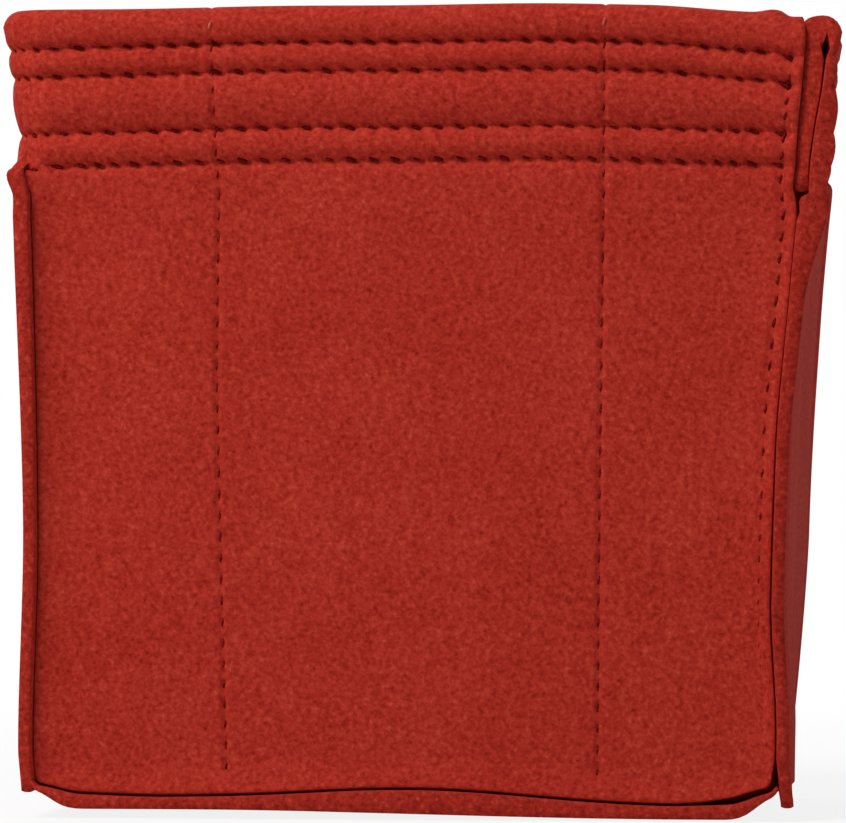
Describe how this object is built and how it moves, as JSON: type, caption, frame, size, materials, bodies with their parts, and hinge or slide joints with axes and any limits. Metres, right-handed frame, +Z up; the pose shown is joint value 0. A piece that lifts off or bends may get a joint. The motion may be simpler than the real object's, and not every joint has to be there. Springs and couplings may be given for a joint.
{
  "type": "purse_organizer_insert",
  "caption": "Open-topped purse organizer insert sewn from thick red felt, with a deep quilted hem, raw-edged corner seams and inner pockets.",
  "frame": {"origin": "middle of the base panel's under side, where the insert rests", "axes": "+X runs across the front to the right side panel, -Y is the front, +Z is up through the open mouth"},
  "size_m": [0.1785, 0.1053, 0.1748],
  "materials": {
    "red_felt": "pressed wool-like felt, matt, mottled",
    "red_thread": "twisted polyester sewing thread"
  },
  "bodies": {
    "root": {"front_panel": "red_felt", "back_panel": "red_felt", "left_side_panel": "red_felt", "right_side_panel": "red_felt", "base_panel": "red_felt", "front_pocket_panel": "red_felt", "back_pocket_panel": "red_felt", "hem_row_thread_1": "red_thread", "hem_row_thread_2": "red_thread", "hem_row_thread_3": "red_thread", "hem_row_thread_4": "red_thread", "front_left_pocket_seam_thread": "red_thread", "front_right_pocket_seam_thread": "red_thread", "back_left_pocket_seam_thread": "red_thread", "back_right_pocket_seam_thread": "red_thread", "front_left_corner_seam_thread": "red_thread", "front_right_corner_seam_thread": "red_thread", "back_left_corner_seam_thread": "red_thread", "back_right_corner_seam_thread": "red_thread", "front_base_seam_thread": "red_thread", "back_base_seam_thread": "red_thread"}
  },
  "joints": []
}
